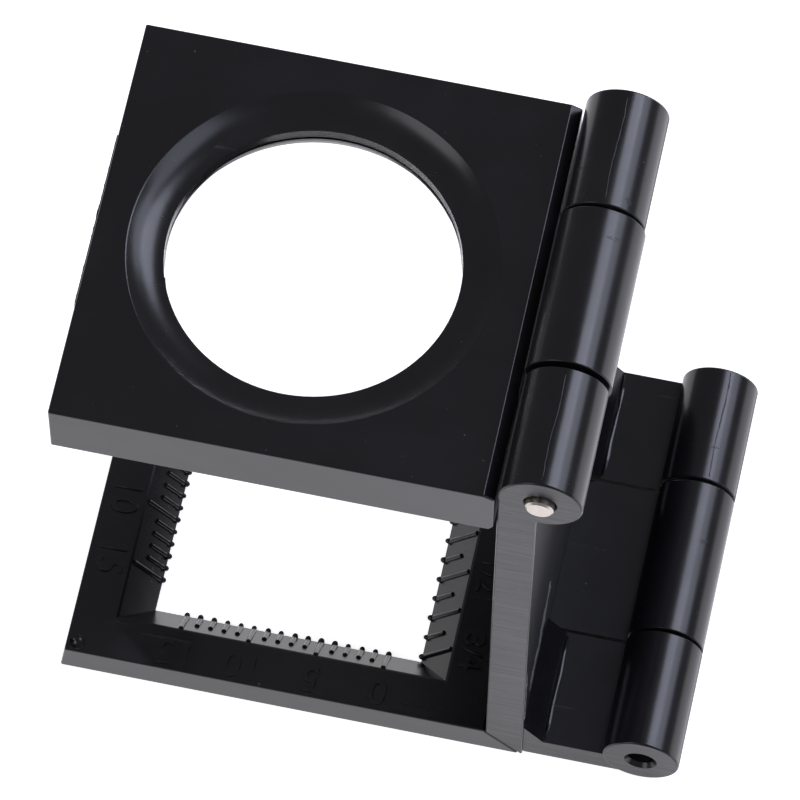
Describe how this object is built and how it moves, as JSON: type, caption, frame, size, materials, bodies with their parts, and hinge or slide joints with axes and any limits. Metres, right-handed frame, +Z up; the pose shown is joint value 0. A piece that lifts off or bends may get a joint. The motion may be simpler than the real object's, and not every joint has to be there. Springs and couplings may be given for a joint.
{
  "type": "folding linen tester magnifier",
  "caption": "Folding pocket magnifier whose lens plate stands over a bevelled measuring window with raised scale ticks; both hinges fold it flat.",
  "frame": {"origin": "centre of the measuring window on the plane of the base frame's underside, on the lens axis", "axes": "+Z up along the lens axis, from the measuring window to the lens; +Y to the back, along both hinge pins; +X towards the hinges"},
  "size_m": [0.0458, 0.0317, 0.0449],
  "materials": {
    "black_plastic": "glossy black moulded plastic",
    "lens_glass": "clear polished",
    "ring_plastic": "glossy black moulded plastic",
    "pin_steel": "plain bright steel"
  },
  "bodies": {
    "base": {"base_frame": "black_plastic"},
    "upright": {"upright": "black_plastic", "top_hinge_pin": "pin_steel", "lower_hinge_pin": "pin_steel"},
    "lens_plate": {"lens_plate": "black_plastic", "lens": "lens_glass", "lens_retaining_ring": "ring_plastic"}
  },
  "joints": [
    {"name": "upright_fold", "type": "hinge", "parent": "base", "child": "upright", "pos_m": [0.02715, 0, 0.0029], "axis": [0, 1, 0], "range_deg": [0, 270]},
    {"name": "lens_plate_fold", "type": "hinge", "parent": "upright", "child": "lens_plate", "pos_m": [0.0187, 0, 0.0418], "axis": [0, 1, 0], "range_deg": [0, 270]}
  ]
}
